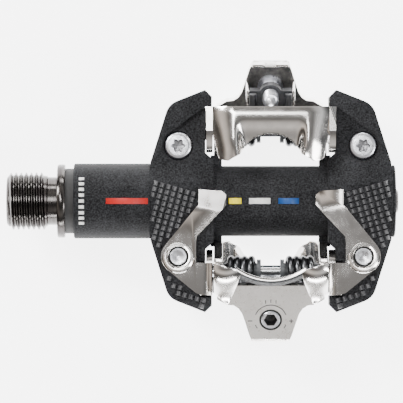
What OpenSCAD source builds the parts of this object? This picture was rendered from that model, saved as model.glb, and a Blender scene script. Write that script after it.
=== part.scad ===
// Double-sided clipless mountain bike pedal.
// Frame: the origin is on the spindle axis at the crank face, +X runs outboard along the spindle,
// +Z is up out of side A, and +Y points to the front of side A. Side B is side A turned half a
// turn about the spindle, so every claw, pin, spring and screw comes in an "a" and a "b".

/* [Overall] */
// Crank face to the middle plane of the pedal
q_factor = 53; // [50:0.5:66]
// Width of the body across both wings
body_w = 60.6; // [58:0.2:74]
// Length of the body from wing tip to wing tip
body_l = 55.2; // [52:0.2:68]
// Height of the claws above the spindle axis
claw_h = 13.5; // [12.8:0.1:16.5]

/* [Body] */
// Outer diameter of the sleeve between the crank and the wings
sleeve_d = 18.7; // [17.6:0.1:23]
// Outer diameter of the barrel between the wings
barrel_d = 17.5; // [16.6:0.1:21]
// Gap between the walls of the two wings
bay_w = 32.4; // [30:0.2:36]
// Height of the tread above the spindle axis, at the barrel
tread_h = 8.7; // [8:0.1:10]
// Depth of the pocket around a bolt head
pocket_depth = 0.9; // [0.4:0.1:1.4]

/* [Claws] */
// Thickness of the stamped front claws
sheet_t = 1.6; // [1.2:0.1:2]
// Radius of the bay that takes the nose of the cleat
nose_r = 8.15; // [7:0.05:9]
// Diameter of the pins that the rear claws turn on
pin_d = 3; // [2.4:0.1:3.6]
// Height of a pin above the spindle axis
pin_z = 2; // [1.5:0.1:3]
// Thickness of the rear claw's tail plate
tail_t = 2; // [1.6:0.1:2.4]
// Slope of the rear claw's tail plate
tail_tilt = 23; // [18:1:26]

/* [Springs] */
// Diameter of the torsion spring wire
wire_d = 1.8; // [1.4:0.1:2.1]
// Turns of each torsion spring
spring_turns = 3.75; // [2.75:1:4.75]

/* [Fasteners] */
// Nominal diameter of the frame bolts
bolt_d = 5; // [4:0.1:5]
// Nominal diameter of the tension screws
screw_d = 4; // [3.4:0.1:4.2]
// Travel of a tension nut along its screw
nut_travel = 3.2; // [2:0.2:3.6]

/* [Spindle] */
// Major diameter of the crank thread
thread_d = 14.28; // [12.7:0.01:15]
// Pitch of the crank thread
thread_pitch = 1.27; // [1:0.01:1.5]
// Number of full threads
thread_turns = 8; // [6:1:11]
// Diameter of the flange against the crank
flange_d = 18.3; // [17:0.1:20]
// Size of the hexagon socket across its flats
hex_af = 8; // [6:0.5:8]
// Diameter of the journal under the needle rollers
journal_d = 10.3; // [9:0.1:11]
// Bore of the outboard ball bearings
bearing_id = 6; // [5:0.1:6.4]
// Outer diameter of the outboard ball bearings
bearing_od = 13; // [12.5:0.1:13.6]
// Width of each ball bearing
bearing_w = 5; // [4:0.1:6]

/* [Hidden] */
$fn = 64;
eps = 0.01;
fit_gap = 0.25;        // side gap of the moving claws
run_gap = 0.03;        // radial clearance of a turning fit

// Body
centre_x = q_factor;
half_w = body_w / 2;
half_l = body_l / 2;
end_x = centre_x + half_w;
wing_x = centre_x - half_w; // the sleeve ends inside the inboard wing
bay_x = bay_w / 2;
barrel_r = barrel_d / 2;
sleeve_r = sleeve_d / 2;
cheek_out = bay_x - 0.2;
cheek_in = cheek_out - sheet_t;
claw_x = cheek_in - fit_gap - 0.05;
ear_t = 2.2;
ear_in = claw_x - ear_t;
neck_x = bay_x - 2;    // where the wing meets the barrel
hook_x = cheek_in + 0.2;
tread_fall = 5.5;      // slope of the tread towards the wing tips
crown_y = 2.9;         // the tread is level up to here

// Frame bolts
bolt_x = half_w - 7.4;
bolt_y = half_l - 13.9;
bolt_head_d = bolt_d + 1.9;
bolt_head_h = 2.4;
bolt_seat = 3.6;

// Front claw
arch_back = half_l - 4.3;
seat_depth = 0.7;      // blind seat in the arch for the foot of a spring
nose_y = arch_back - 14.85;
arm_proud = 0.9;
tab_z = tread_h + arm_proud;
bend_r = 0.8;

// Rear claw and its pivot
pin_y = half_l - 10.2;
pin_r = pin_d / 2;
sleeve_t = 0.5;
collar_end = 3.4;      // the spring sleeves' flanges end here
spring_r = pin_r + sleeve_t + 0.05 + wire_d / 2;
screw_y = half_l + 1.9;
screw_z = 4.5;
screw_r = screw_d / 2;
// The pin's place in the tail plate's own frame: along the slope, and out of it
pin_v = (screw_y - pin_y) * cos(tail_tilt) + (pin_z - screw_z) * sin(tail_tilt);
pin_w = -(screw_y - pin_y) * sin(tail_tilt) + (pin_z - screw_z) * cos(tail_tilt);
leg_w = pin_w - spring_r;
nut_w = leg_w + wire_d / 2 + 0.05; // face of the tension nut that the spring legs press on
nut_thick = 2.4;
nut_half = claw_x - 8.9;
rib_t = 0.8;
head_r = screw_r + 0.4;
collar_r = screw_r + 1.2;
collar_t = 0.8;
screw_len = nut_travel - nut_w + 0.4;

// Spindle
thread_r = thread_d / 2;
root_r = thread_r - 0.61 * thread_pitch;
relief = 2.4;
thread_x = -relief - thread_turns * thread_pitch;
flange_t = 1.9;
journal_r = journal_d / 2;
seal_x = flange_t + 0.1;
mouth_x = flange_t + 2.2;
needle_x = mouth_x + 2.5;
needle_len = 12;
roller_r = 0.9;
roller_n = 14;
roller_c = journal_r + 0.02 + roller_r;
shell_in = roller_c + roller_r + run_gap;
shell_out = shell_in + 0.7;
shaft_r = 4.6;
shaft_bore = 5.7;

// Outboard bearings, counted back from the cap
cap_depth = 3.2;
nut_t = 3.4;
washer_t = 0.8;
spacer_t = 0.6;
bearing_2_x = end_x - cap_depth - 0.8 - nut_t - washer_t - bearing_w;
bearing_1_x = bearing_2_x - spacer_t - bearing_w;
bearing_ri = bearing_id / 2;
bearing_ro = bearing_od / 2;
ball_c = (bearing_ri + bearing_ro) / 2;
ball_r = 0.34 * (bearing_ro - bearing_ri);
ball_n = 8;
groove_r = ball_r + run_gap;
inner_land = ball_c - 0.5 * ball_r;
outer_land = ball_c + 0.5 * ball_r;
nut_af = 10;
clip_t = 1;
clip_depth = 0.4;      // groove of the circlip that holds them
cap_r = bearing_ro + 0.8;

// ---------------------------------------------------------------- helpers

function unit(v) = v / norm(v);

// Points of an arc about c, from angle a0 to a1
function arc(c, r, a0, a1, n = 8) =
    [for (i = [0 : n]) let (a = a0 + (a1 - a0) * i / n) c + r * [cos(a), sin(a)]];

// Corner b between a and c, rounded to radius r
function rounded(a, b, c, r, n = 5) =
    let (
        u = unit(a - b), v = unit(c - b), half = acos(u * v) / 2,
        p = b + u * r / tan(half), q = b + v * r / tan(half),
        m = b + unit(u + v) * r / sin(half)
    )
    [for (i = [0 : n]) m + r * unit((p - m) * (1 - i / n) + (q - m) * i / n)];

// Half an outline and its mirror image in x
function both_halves(half) =
    concat(half, [for (i = [len(half) - 1 : -1 : 0]) [-half[i][0], half[i][1]]]);

function turned_half(points) = [for (p = points) -p];

// Side B is side A turned over about the spindle
module side(b) {
    rotate([b ? 180 : 0, 0, 0]) children();
}

module both_sides() {
    side(false) children();
    side(true) children();
}

module at_centre() {
    translate([centre_x, 0, 0]) children();
}

module left_and_right() {
    children();
    mirror([1, 0, 0]) children();
}

// A solid of revolution about the spindle, from points of [radius, x]
module turned(points) {
    rotate([0, 90, 0]) rotate_extrude() polygon(points);
}

module x_cylinder(x, length, r) {
    translate([x, 0, 0]) rotate([0, 90, 0]) cylinder(h = length, r = r);
}

module ring(x, length, r_in, r_out) {
    turned([[r_in, x], [r_out, x], [r_out, x + length], [r_in, x + length]]);
}

// A side view, points of [y, z], extruded across x0 to x1
module side_view(points, x0, x1) {
    translate([x0, 0, 0]) rotate([90, 0, 90]) linear_extrude(x1 - x0) polygon(points);
}

// A plan view, points of [x, y], extruded through the whole height
module plan(points) {
    translate([0, 0, -30]) linear_extrude(60) polygon(points);
}

// The frame of side A's tail plate: its outer face is z = 0, the screw is at the origin,
// and y runs up the slope towards the pin
module tail_frame() {
    translate([0, -screw_y, screw_z]) rotate([tail_tilt, 0, 0]) children();
}

// ---------------------------------------------------------------- body

// Height of side A's tread, at a distance from the spindle axis on the treaded half
function tread_z(y) = tread_h - max(0, y - crown_y) * tan(tread_fall);

// The top of a wing on side A, from its rear tip to its front tip, less a depth
function wing_top(depth = 0) = [
    [-half_l, tread_z(half_l) - 1.3 - depth],
    [-half_l + 3, tread_z(half_l - 3) - depth],
    [-crown_y, tread_h - depth],
    [4.8, tread_h - depth],
    [6.4, tread_h - 1.2 - depth],
    [half_l - 3.8, 5.4 - depth],
    [half_l, 4.6 - depth]
];

// Plan of the right-hand wing's front half, from the barrel round to the side
function wing_half_plan() =
    let (
        tip = [hook_x + 1.7, half_l], shoulder = [half_w - 5, half_l - 3.6],
        waist = [half_w - 0.5, barrel_r + 0.9], flank = [half_w, 5.6]
    )
    concat(
        [
            [neck_x, 0], [neck_x, barrel_r + 1.4], [bay_x, barrel_r + 3.2],
            [bay_x, arch_back + 0.3], [hook_x, arch_back + 0.3], [hook_x, half_l - 1.7]
        ],
        [tip],
        rounded(tip, shoulder, waist, 4.5),
        [waist, flank]
    );

function wing_plan() =
    let (half = wing_half_plan())
    concat(half, [for (i = [len(half) - 1 : -1 : 1]) [half[i][0], -half[i][1]]]);

module wing() {
    intersection() {
        plan(wing_plan());
        side_view(concat(wing_top(), turned_half(wing_top())), neck_x - 1, half_w + 1);
    }
}

// The low smooth floor around a bolt head, open towards the bay
module bolt_pocket() {
    reach = bolt_head_d / 2 + 0.55;
    intersection() {
        union() {
            translate([bolt_x, bolt_y, -eps]) cylinder(h = 20, r = reach);
            plan(concat(
                [[bay_x - 1, barrel_r + 3.8], [bay_x - 1, arch_back - 0.3]],
                [[bay_x + 1.2, arch_back - 0.6]],
                [[bolt_x, bolt_y] + (reach - 0.15) * [cos(48), sin(48)]],
                [[bolt_x, bolt_y] + (reach - 0.15) * [cos(-62), sin(-62)]]
            ));
        }
        side_view(
            concat(wing_top(pocket_depth), [[half_l, 20], [-half_l, 20]]),
            bay_x - 2, half_w + 1
        );
    }
}

// Seat and hole of one frame bolt, with its head on side A
module bolt_hole() {
    translate([bolt_x, bolt_y, -20]) cylinder(h = 40, r = bolt_d / 2 + 0.1);
    translate([bolt_x, bolt_y, bolt_seat]) cylinder(h = 20, r = bolt_head_d / 2 + 0.15);
}

// Room in the wing's lower inner edge for the bend of a front claw's arm
module bend_relief() {
    z = -tread_z(arch_back);
    side_view(
        [[pin_y - 2.6, z - 4], [arch_back + 0.5, z - 4],
         [arch_back + 0.5, z + sheet_t + 1.4], [pin_y - 2.6, z + sheet_t + 1.4]],
        bay_x - 1, cheek_out + bend_r + 1
    );
}

// Ledge on the barrel that a rear claw's ears come to rest on
module claw_stop() {
    translate([ear_in + 0.2, -barrel_r - 2.6, -2.8])
        cube([neck_x + 0.5 - ear_in, 5, 3.6]);
}

module body() {
    color("#25272a") difference() {
        union() {
            turned([[0, mouth_x], [sleeve_r - 0.3, mouth_x], [sleeve_r, mouth_x + 0.3],
                    [sleeve_r, wing_x + 0.3], [barrel_r, wing_x + 0.3], [barrel_r, end_x],
                    [0, end_x]]);
            at_centre() {
                left_and_right() wing();
                both_sides() left_and_right() claw_stop();
            }
        }
        at_centre() both_sides() left_and_right() {
            bolt_pocket();
            bolt_hole();
            arm_shape(tab_z + 5);
            bend_relief();
        }
        turned(body_bore());
    }
}

// Bore of the body from the crank side to the cap, as points of [radius, x]
function body_bore() = [
    [0, mouth_x - 1], [shell_out, mouth_x - 1], [shell_out, needle_x + needle_len],
    [shaft_bore, needle_x + needle_len], [shaft_bore, bearing_1_x],
    [bearing_ro, bearing_1_x], [bearing_ro, bearing_2_x + bearing_w],
    [bearing_ro + clip_depth, bearing_2_x + bearing_w],
    [bearing_ro + clip_depth, bearing_2_x + bearing_w + clip_t],
    [bearing_ro + 0.1, bearing_2_x + bearing_w + clip_t], [bearing_ro + 0.1, end_x - cap_depth],
    [cap_r, end_x - cap_depth], [cap_r, end_x + 1], [0, end_x + 1]
];

module dust_seal() {
    color("#141414") turned([
        [journal_r + 1.5, seal_x], [shell_out + 0.4, seal_x], [shell_out + 0.4, mouth_x],
        [shell_out, mouth_x], [shell_out, needle_x - 0.1], [journal_r + 1.5, needle_x - 0.1]
    ]);
}

module end_cap() {
    color("#1b1c1e") difference() {
        turned([
            [0, end_x - cap_depth + 0.6], [cap_r, end_x - cap_depth + 0.6], [cap_r, end_x + 0.02],
            [cap_r + 1.7, end_x + 0.02], [cap_r + 1.7, end_x + 0.4], [cap_r + 1.4, end_x + 0.7],
            [0, end_x + 0.7]
        ]);
        x_cylinder(end_x - 1.4, 3, 4.6, $fn = 6);
    }
}

module end_cap_seal() {
    color("#101010") ring(end_x - cap_depth, 0.6, cap_r - 1.3, cap_r);
}

module bearing_circlip() {
    color("#6d7075") difference() {
        ring(bearing_2_x + bearing_w, clip_t, bearing_ro - 0.6, bearing_ro + clip_depth);
        translate([bearing_2_x, -1.6, 0]) cube([3 * bearing_w, 3.2, 2 * bearing_ro]);
    }
}

// ---------------------------------------------------------------- spindle and bearings

// Crest-flat rings that stand for the helix, as points of [radius, x]
function thread_rings() = [
    for (i = [0 : thread_turns - 1])
        let (x = thread_x + i * thread_pitch)
        each [[root_r, x + 0.05], [thread_r, x + 0.35 * thread_pitch],
              [thread_r, x + 0.65 * thread_pitch], [root_r, x + thread_pitch - 0.05]]
];

module spindle() {
    neck_r = thread_r - 1;
    nut_end = bearing_2_x + bearing_w + washer_t + nut_t;
    color("#3a3635") difference() {
        turned(concat(
            [[0, thread_x], [root_r, thread_x]],
            thread_rings(),
            [
                [neck_r, -relief + 0.2], [neck_r, 0], [flange_d / 2 - 0.4, 0],
                [flange_d / 2, 0.4], [flange_d / 2, flange_t],
                [journal_r + 1.45, flange_t], [journal_r + 1.45, needle_x - 0.3],
                [journal_r, needle_x - 0.3], [journal_r, needle_x + needle_len + 0.8],
                [shaft_r, needle_x + needle_len + 3], [shaft_r, bearing_1_x - 3],
                [inner_land - 0.1, bearing_1_x - 2.4], [inner_land - 0.1, bearing_1_x],
                [bearing_ri, bearing_1_x], [bearing_ri, nut_end + 0.2],
                [bearing_ri - 0.5, nut_end + 0.6], [0, nut_end + 0.6]
            ]
        ));
        rotate([30, 0, 0]) x_cylinder(thread_x - 1, 10, hex_af / 2 / cos(30), $fn = 6);
    }
}

module needle_shell() {
    color("#a9abae") turned([
        [roller_c - 0.5, needle_x], [shell_out, needle_x], [shell_out, needle_x + needle_len],
        [roller_c - 0.5, needle_x + needle_len], [roller_c - 0.5, needle_x + needle_len - 0.6],
        [shell_in, needle_x + needle_len - 0.6], [shell_in, needle_x + 0.6], [roller_c - 0.5, needle_x + 0.6]
    ]);
}

module around_spindle(n) {
    for (i = [0 : n - 1]) rotate([360 * i / n, 0, 0]) children();
}

module needle_rollers() {
    color("#d0d2d5") around_spindle(roller_n)
        translate([needle_x + 1.2, 0, roller_c]) rotate([0, 90, 0])
            cylinder(h = needle_len - 2.4, r = roller_r, $fn = 24);
}

module needle_cage() {
    color("#8a7a52") difference() {
        ring(needle_x + 0.7, needle_len - 1.4, roller_c - 0.35, roller_c + 0.35);
        around_spindle(roller_n)
            translate([needle_x + 1.15, 0, roller_c]) rotate([0, 90, 0])
                cylinder(h = needle_len - 2.3, r = roller_r + 0.05, $fn = 24);
    }
}

module ball_track(x) {
    rotate([0, 90, 0]) translate([0, 0, x + bearing_w / 2])
        rotate_extrude() translate([ball_c, 0]) circle(r = groove_r, $fn = 32);
}

module inner_ring(x) {
    color("#b9bbbe") difference() {
        ring(x, bearing_w, bearing_ri, inner_land);
        ball_track(x);
    }
}

module outer_ring(x) {
    color("#b9bbbe") difference() {
        ring(x, bearing_w, outer_land, bearing_ro);
        ball_track(x);
    }
}

module balls(x) {
    color("#e3e4e6") around_spindle(ball_n)
        translate([x + bearing_w / 2, 0, ball_c]) sphere(r = ball_r, $fn = 24);
}

module ball_cage(x) {
    half = bearing_w / 2 - 0.9;
    color("#8a7a52") difference() {
        ring(x + bearing_w / 2 - half, 2 * half, ball_c - 0.3 * ball_r, ball_c + 0.3 * ball_r);
        around_spindle(ball_n)
            translate([x + bearing_w / 2, 0, ball_c]) sphere(r = ball_r + 0.06, $fn = 24);
    }
}

module shields(x) {
    color("#5a5c60") for (dx = [0.15, bearing_w - 0.4])
        ring(x + dx, 0.25, inner_land + 0.06, outer_land);
}

module bearing_spacer() {
    color("#8f9194") ring(bearing_1_x + bearing_w, spacer_t, bearing_ri, inner_land);
}

module lock_washer() {
    color("#8f9194") ring(bearing_2_x + bearing_w, washer_t, bearing_ri, inner_land + 0.8);
}

module lock_nut() {
    x = bearing_2_x + bearing_w + washer_t;
    color("#77797d") difference() {
        x_cylinder(x, nut_t, nut_af / 2 / cos(30), $fn = 6);
        x_cylinder(x - 1, nut_t + 2, bearing_ri);
    }
}

// ---------------------------------------------------------------- front claw

// Plan of one arm, on the treaded half of the opposite side, from the tab to the bend
function arm_plan() =
    let (
        tab_in = neck_x - 3.1, tab_out = neck_x + 3.7,
        bend_x = cheek_out + bend_r, eye = [bolt_x, bolt_y], eye_r = bolt_d / 2 + 1.8
    )
    concat(
        [
            [tab_out, -crown_y], [tab_in + 1, -crown_y + 0.4], [tab_in, -crown_y + 1.4],
            [tab_in, crown_y - 1.9], [tab_in + 1, crown_y - 0.7],
            [bend_x + 1.5, barrel_r], [bend_x + 1.7, barrel_r + 1.7],
            [bend_x + 1.7, pin_y - 2.1], [bend_x, pin_y - 2.1],
            [bend_x, arch_back], [bend_x + 1.7, arch_back - 0.5]
        ],
        arc(eye, eye_r, 49, -41),
        [[tab_out + 0.7, crown_y - 1.2], [tab_out, crown_y - 1.9]]
    );

// One arm on side B of the front end: a level tab, then a plate that follows the tread
module arm_shape(height = 0) {
    function skin(y) = -tab_z + max(0, y - crown_y) * tan(tread_fall);
    intersection() {
        plan(arm_plan());
        side_view([
            [-crown_y - 1, skin(0) - height], [crown_y, skin(crown_y) - height],
            [half_l, skin(half_l) - height], [half_l, skin(half_l) + sheet_t],
            [crown_y, skin(crown_y) + sheet_t], [-crown_y - 1, skin(0) + sheet_t]
        ], neck_x - 5, half_w);
    }
}

// The bend between an arm and its cheek: an L section, extruded along the slope of the arm
module arm_bend() {
    out = bend_r + sheet_t;
    intersection() {
        translate([cheek_out + bend_r, crown_y, -tab_z]) rotate([tread_fall, 0, 0])
            translate([0, half_l, out]) rotate([90, 0, 0]) linear_extrude(half_l)
                polygon(concat(
                    [[0.8, -out]], [[0, -out]], arc([0, 0], out, 270, 180, 10), [[-out, 0.8]],
                    [[-bend_r, 0.8]], arc([0, 0], bend_r, 180, 270, 6), [[0.8, -bend_r]]
                ));
        plan([[0, pin_y - 2.1], [half_w, pin_y - 2.1], [half_w, arch_back], [0, arch_back]]);
    }
}

// Upright cheek between the arch and the arm, with the eye for the rear claw's pin
module cheek() {
    bend_z = -tab_z + sheet_t + bend_r;
    function skin(y) = bend_z + (y - crown_y) * tan(tread_fall);
    fold = pin_y - 2.1;
    front = barrel_r + 3.35; // clear of the wing's neck
    difference() {
        side_view(concat(
            [[arch_back, skin(arch_back) + 0.3], [arch_back, claw_h - sheet_t / 2],
             [arch_back - 4.5, claw_h - sheet_t / 2], [front + 1.8, claw_h - 4],
             [front + 0.6, claw_h - 6]],
            arc([fold - 0.1, skin(fold) + 0.8 + fold - 0.1 - front], fold - 0.1 - front, 180, 270, 6),
            [[fold, skin(fold) + 0.8], [fold, skin(fold) + 0.3]]
        ), cheek_in, cheek_out);
        translate([0, pin_y, -pin_z]) x_cylinder(cheek_in - 1, sheet_t + 2, pin_r);
    }
}

// Plan of the arch that holds the nose of the cleat
function arch_plan() = both_halves([
    [cheek_out, arch_back], [cheek_out, arch_back - 4.5],
    [nose_r + 4.5, nose_y + 1.6], [nose_r + 1.2, nose_y + 1.2], [nose_r - 0.5, nose_y + 3.1]
]);

module arch() {
    difference() {
        intersection() {
            plan(arch_plan());
            side_view([
                [arch_back + 1, claw_h - sheet_t], [arch_back + 1, claw_h - 1.9], [arch_back, claw_h - 0.9],
                [arch_back - 0.9, claw_h], [nose_y + 1, claw_h], [nose_y, claw_h - sheet_t]
            ], -cheek_out - 1, cheek_out + 1);
        }
        translate([0, nose_y, 0]) cylinder(h = 30, r = nose_r);
        left_and_right() translate([spring_x0, pin_y + spring_r, 0])
            cylinder(h = claw_h - sheet_t + seat_depth, r = wire_d / 2 + 0.15);
    }
}

module arm_collar() {
    skin = -tab_z + (bolt_y - crown_y) * tan(tread_fall);
    translate([bolt_x, bolt_y, skin - 0.5]) cylinder(h = 1.2, r = bolt_d / 2 + 0.9);
}

module front_claw(b) {
    color("#c9c5c0") side(b) at_centre() difference() {
        union() {
            arch();
            left_and_right() {
                cheek();
                arm_shape();
                arm_bend();
                arm_collar();
            }
        }
        left_and_right() translate([bolt_x, bolt_y, -20]) cylinder(h = 20, r = bolt_d / 2);
    }
}

module frame_bolts(b) {
    tip = tab_z - (bolt_y - crown_y) * tan(tread_fall) + 0.6;
    color("#cfd2d8") side(b) at_centre() left_and_right() translate([bolt_x, bolt_y, 0]) difference() {
        union() {
            translate([0, 0, -tip]) cylinder(h = 0.5, r1 = bolt_d / 2 - 0.5, r2 = bolt_d / 2);
            translate([0, 0, -tip + 0.5]) cylinder(h = tip - 0.5 + bolt_seat, r = bolt_d / 2);
            translate([0, 0, bolt_seat]) cylinder(h = bolt_head_h - 0.5, r = bolt_head_d / 2);
            translate([0, 0, bolt_seat + bolt_head_h - 0.5])
                cylinder(h = 0.5, r1 = bolt_head_d / 2, r2 = bolt_head_d / 2 - 0.5);
        }
        translate([0, 0, bolt_seat + bolt_head_h - 1.6]) linear_extrude(3) six_lobes(bolt_d * 0.45);
    }
}

// Six-lobed drive recess of a given outer radius
module six_lobes(r) {
    circle(r = 0.72 * r);
    for (a = [0 : 60 : 300]) rotate(a) translate([0.72 * r, 0]) circle(r = 0.28 * r, $fn = 24);
}

// ---------------------------------------------------------------- rear claw

// Places on the rear claw of side A, at negative y
hook_y = -(pin_y - 2.1);
lobe_y = -(pin_y + 8.2);
lobe_drop = 6.6;
band_r = 14.4;
band_y = -(pin_y + 1.6) + band_r;

// Line of the claw's top: level at the hook, then falling to the lobe's tip
function claw_top(depth) = [
    [hook_y + 0.5, claw_h - depth], [hook_y - 2.3, claw_h - depth],
    [lobe_y - 0.3, claw_h - lobe_drop - depth]
];

function reversed(points) = [for (i = [len(points) - 1 : -1 : 0]) points[i]];

module lobe() {
    thick = 1.7;
    intersection() {
        plan([
            [claw_x, hook_y], [claw_x - 6.7, hook_y - 1.7], [claw_x - 6.5, hook_y - 3.3],
            [claw_x - 4.7, hook_y - 7.3], [claw_x - 3.5, lobe_y + 0.3], [claw_x - 2.9, lobe_y],
            [claw_x, hook_y - 7.6]
        ]);
        side_view(concat(claw_top(0), reversed(claw_top(thick))), 0, claw_x + 1);
    }
}

// Side plate that turns on the pin
module ear() {
    stop_y = -barrel_r - 1.5;
    pin = [-pin_y, pin_z];
    difference() {
        side_view(concat(
            [[hook_y, claw_h], [hook_y - 2.3, claw_h], [hook_y - 7.6, claw_h - 4.3],
             [hook_y - 7.6, claw_h - 6.5], [hook_y - 6, claw_h - 9.5]],
            arc(pin, pin_r + 2.2, 190, 280, 5),
            [[stop_y - 2.5, 1], [stop_y, 1], [stop_y, 4.6], [stop_y - 0.8, 5.4],
             [hook_y + 1.6, 8.2], [hook_y + 1.2, claw_h - 1.7], [hook_y, claw_h - 1.7]]
        ), ear_in, claw_x);
        translate([0, -pin_y, pin_z]) x_cylinder(ear_in - 1, ear_t + 2, pin_r + run_gap);
    }
}

// Lip between the lobes that holds the tail of the cleat, and the wall behind it
module lip() {
    intersection() {
        difference() {
            union() {
                translate([0, band_y, claw_h - 1.8]) cylinder(h = 1.6, r = band_r + 1.4);
                translate([0, band_y, claw_h - 7]) cylinder(h = 6.2, r = band_r + 2.1);
            }
            translate([0, band_y, claw_h - 1.9]) cylinder(h = 3, r = band_r);
            translate([0, band_y, 0]) cylinder(h = claw_h - 1.8, r = band_r + 0.7);
        }
        translate([-claw_x + 5.6, -40, 0]) cube([2 * claw_x - 11.2, 40 - pin_y + 3, 30]);
    }
}

function tail_plan() =
    let (
        bar = [pin_v - 0.7, pin_v - 4, pin_v - 6.1, pin_v - 6.7]
    )
    both_halves([
        [claw_x - 0.8, bar[0]], [claw_x - 0.8, bar[1]], [claw_x - 3.1, bar[2]], [claw_x - 5.6, bar[3]],
        [claw_x - 6.9, bar[3] - 1.5], [claw_x - 7.9, -0.8], [claw_x - 8.9, -4.3], [claw_x - 9.7, -6.4]
    ]);

// Tail plate, with the hole for the screw's head, two ribs that guide the tension nut, and a
// turned-in end
module tail() {
    tail_frame() difference() {
        union() {
            translate([0, 0, -tail_t]) linear_extrude(tail_t) polygon(tail_plan());
            translate([-claw_x + 9.7, -6.4, -tail_t - 1]) cube([2 * claw_x - 19.4, 1.2, 2]);
            left_and_right() translate([nut_half + 0.1, -1.6, nut_w])
                cube([rib_t, 6.2, -nut_w - 1]);
        }
        translate([0, 0, -10]) cylinder(h = 20, r = head_r + run_gap);
    }
}

module rear_claw(b) {
    color("#d4d0ca") side(b) at_centre() union() {
        left_and_right() {
            lobe();
            ear();
        }
        lip();
        tail();
    }
}

module claw_pin(b) {
    color("#9fb0b4") side(b) at_centre() translate([0, -pin_y, pin_z])
        x_cylinder(-cheek_out, 2 * cheek_out, pin_r);
}

module spring_sleeves(b) {
    color("#3d4145") side(b) at_centre() translate([0, -pin_y, pin_z]) left_and_right()
        turned([
            [pin_r, collar_end - 1], [pin_r + 1.4, collar_end - 1], [pin_r + 1.4, collar_end],
            [pin_r + sleeve_t, collar_end], [pin_r + sleeve_t, ear_in - 0.15], [pin_r, ear_in - 0.15]
        ]);
}

// ---------------------------------------------------------------- springs

// Each ring of the wire is [centre, normal, direction], in a frame whose x axis is the pin.
// The wire comes up from the front claw, winds towards the middle of the pedal, and leaves
// under the tension plate.
spring_x0 = ear_in - 0.35 - wire_d / 2;
spring_x1 = collar_end + 0.1 + wire_d / 2;
spring_sweep = 360 * (spring_turns - 0.75) + 270 - tail_tilt;
coil_steps = round(spring_sweep / 18);

function coil_ring(a) =
    let (
        n = [0, -cos(a), sin(a)], t = [0, sin(a), cos(a)],
        x = spring_x0 + (spring_x1 - spring_x0) * a / spring_sweep
    )
    [[x, 0, 0] + spring_r * n, n, t];

function spring_rings() =
    let (
        start = coil_ring(0), finish = coil_ring(spring_sweep),
        down = claw_h - sheet_t + pin_z + seat_depth - 0.1, back = pin_v + 1
    )
    concat(
        [for (s = [-down, -down / 2]) [start[0] + s * start[2], start[1], start[2]]],
        [for (i = [0 : coil_steps]) coil_ring(spring_sweep * i / coil_steps)],
        [for (s = [back / 2, back]) [finish[0] + s * finish[2], finish[1], finish[2]]]
    );

// A wire swept through rings of [centre, normal, direction]
module wire(rings, r, sides = 8) {
    points = [
        for (g = rings) let (side = cross(g[2], g[1]))
            for (j = [0 : sides - 1]) g[0] + r * (cos(360 * j / sides) * g[1] + sin(360 * j / sides) * side)
    ];
    n = len(rings);
    walls = [
        for (i = [0 : n - 2], j = [0 : sides - 1])
            let (k = (j + 1) % sides)
            each [[i * sides + j, (i + 1) * sides + j, (i + 1) * sides + k],
                  [i * sides + j, (i + 1) * sides + k, i * sides + k]]
    ];
    caps = [[for (j = [0 : sides - 1]) j], [for (j = [sides - 1 : -1 : 0]) (n - 1) * sides + j]];
    polyhedron(points, concat(walls, caps));
}

module spring(b, left) {
    color("#4a4d50") side(b) at_centre() translate([0, -pin_y, pin_z])
        mirror([left ? 1 : 0, 0, 0]) wire(spring_rings(), wire_d / 2);
}

// ---------------------------------------------------------------- tension screw

// Nut that the spring legs press on. It slides between the tail's ribs as its screw turns
module tension_nut(b) {
    color("#2b2d2f") side(b) at_centre() tail_frame() difference() {
        union() {
            translate([-nut_half, -1.4, nut_w]) cube([2 * nut_half, 5.8, nut_thick]);
            translate([0, 0, nut_w]) cylinder(h = nut_thick, r = screw_r + 1);
        }
        translate([0, 0, nut_w - 1]) cylinder(h = nut_thick + 2, r = screw_r + run_gap);
    }
}

// The screw stays in place: its head turns in the tail plate and its collar bears on the inside
module tension_screw(b) {
    color("#c6c9ce") side(b) at_centre() tail_frame() difference() {
        union() {
            translate([0, 0, -screw_len - 1]) cylinder(h = 1, r1 = screw_r - 0.9, r2 = screw_r - 0.2);
            translate([0, 0, -screw_len]) cylinder(h = screw_len - tail_t, r = screw_r);
            translate([0, 0, -tail_t - collar_t - 0.05]) cylinder(h = collar_t, r = collar_r);
            translate([0, 0, -tail_t - 0.1]) cylinder(h = tail_t - 0.2, r = head_r);
            translate([0, 0, -0.3 - eps]) cylinder(h = 0.3, r1 = head_r, r2 = head_r - 0.3);
        }
        translate([0, 0, -2.4]) cylinder(h = 4, r = 3 / 2 / cos(30), $fn = 6);
    }
}

// ---------------------------------------------------------------- nodes

spindle();
body();
dust_seal();
end_cap();
end_cap_seal();
bearing_circlip();
needle_shell();
needle_rollers();
needle_cage();
outer_ring(bearing_1_x);  // inner_bearing_outer_ring
inner_ring(bearing_1_x);  // inner_bearing_inner_ring
balls(bearing_1_x);  // inner_bearing_balls
ball_cage(bearing_1_x);  // inner_bearing_cage
shields(bearing_1_x);  // inner_bearing_shields
outer_ring(bearing_2_x);  // outer_bearing_outer_ring
inner_ring(bearing_2_x);  // outer_bearing_inner_ring
balls(bearing_2_x);  // outer_bearing_balls
ball_cage(bearing_2_x);  // outer_bearing_cage
shields(bearing_2_x);  // outer_bearing_shields
bearing_spacer();
lock_washer();
lock_nut();
front_claw(false);  // front_claw_a
front_claw(true);  // front_claw_b
rear_claw(false);  // rear_claw_a
rear_claw(true);  // rear_claw_b
claw_pin(false);  // claw_pin_a
claw_pin(true);  // claw_pin_b
spring_sleeves(false);  // spring_sleeves_a
spring_sleeves(true);  // spring_sleeves_b
spring(false, true);  // spring_a_left
spring(false, false);  // spring_a_right
spring(true, true);  // spring_b_left
spring(true, false);  // spring_b_right
tension_nut(false);  // tension_nut_a
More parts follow.
